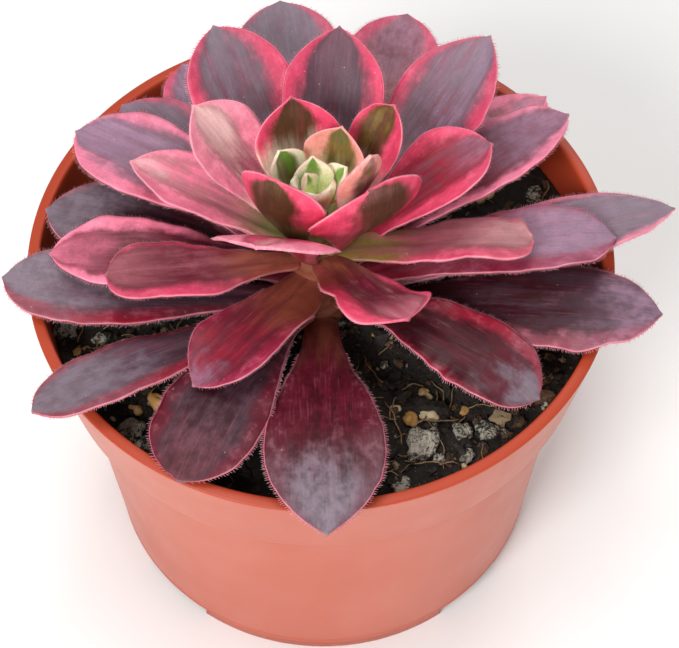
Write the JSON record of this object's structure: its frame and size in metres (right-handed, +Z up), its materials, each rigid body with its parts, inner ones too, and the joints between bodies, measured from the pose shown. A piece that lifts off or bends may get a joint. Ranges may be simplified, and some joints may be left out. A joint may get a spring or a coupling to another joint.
{
  "type": "potted aeonium",
  "caption": "Round plastic nursery pot with gritty soil and an open rosette of spoon-shaped variegated aeonium leaves on a short stem.",
  "frame": {"origin": "below the middle of the whole plant's bounding box, on the surface that the pot's feet stand on", "axes": "+Z up, +X right along the plant's longest way across, -Y towards the front"},
  "size_m": [0.1716, 0.1608, 0.1599],
  "materials": {
    "pot_plastic": "satin",
    "soil": "matte",
    "stem": "matte",
    "leaf_outer": "satin",
    "leaf_upper": "satin",
    "leaf_inner": "satin",
    "leaf_heart": "satin"
  },
  "bodies": {
    "root": {"pot": "pot_plastic", "soil": "soil", "stem": "stem", "leaf_low_front": "leaf_outer", "leaf_low_front_left": "leaf_outer", "leaf_low_left_front": "leaf_outer", "leaf_low_left": "leaf_outer", "leaf_low_right_front": "leaf_outer", "leaf_low_right": "leaf_outer", "leaf_low_right_back": "leaf_outer", "leaf_low_back_right": "leaf_outer", "leaf_low_back": "leaf_outer", "leaf_low_back_left": "leaf_outer", "leaf_low_left_back": "leaf_outer", "leaf_mid_left_back": "leaf_outer", "leaf_mid_left_upper": "leaf_outer", "leaf_mid_left": "leaf_outer", "leaf_mid_left_front": "leaf_outer", "leaf_mid_front_left": "leaf_outer", "leaf_mid_front_right": "leaf_outer", "leaf_mid_right": "leaf_outer", "leaf_mid_right_back": "leaf_outer", "leaf_high_left_upper": "leaf_upper", "leaf_high_right": "leaf_upper", "leaf_high_back_right": "leaf_upper", "leaf_high_back_left": "leaf_upper", "leaf_high_back": "leaf_upper", "leaf_high_left": "leaf_upper", "leaf_high_right_back": "leaf_upper", "leaf_high_front_left": "leaf_upper", "leaf_inner_left": "leaf_inner", "leaf_inner_right_back": "leaf_inner", "leaf_inner_back": "leaf_inner", "leaf_inner_front_left": "leaf_inner", "leaf_inner_front_right": "leaf_inner", "leaf_core_back": "leaf_inner", "leaf_core_right": "leaf_inner", "leaf_core_left": "leaf_inner", "leaf_heart": "leaf_heart"}
  },
  "joints": []
}
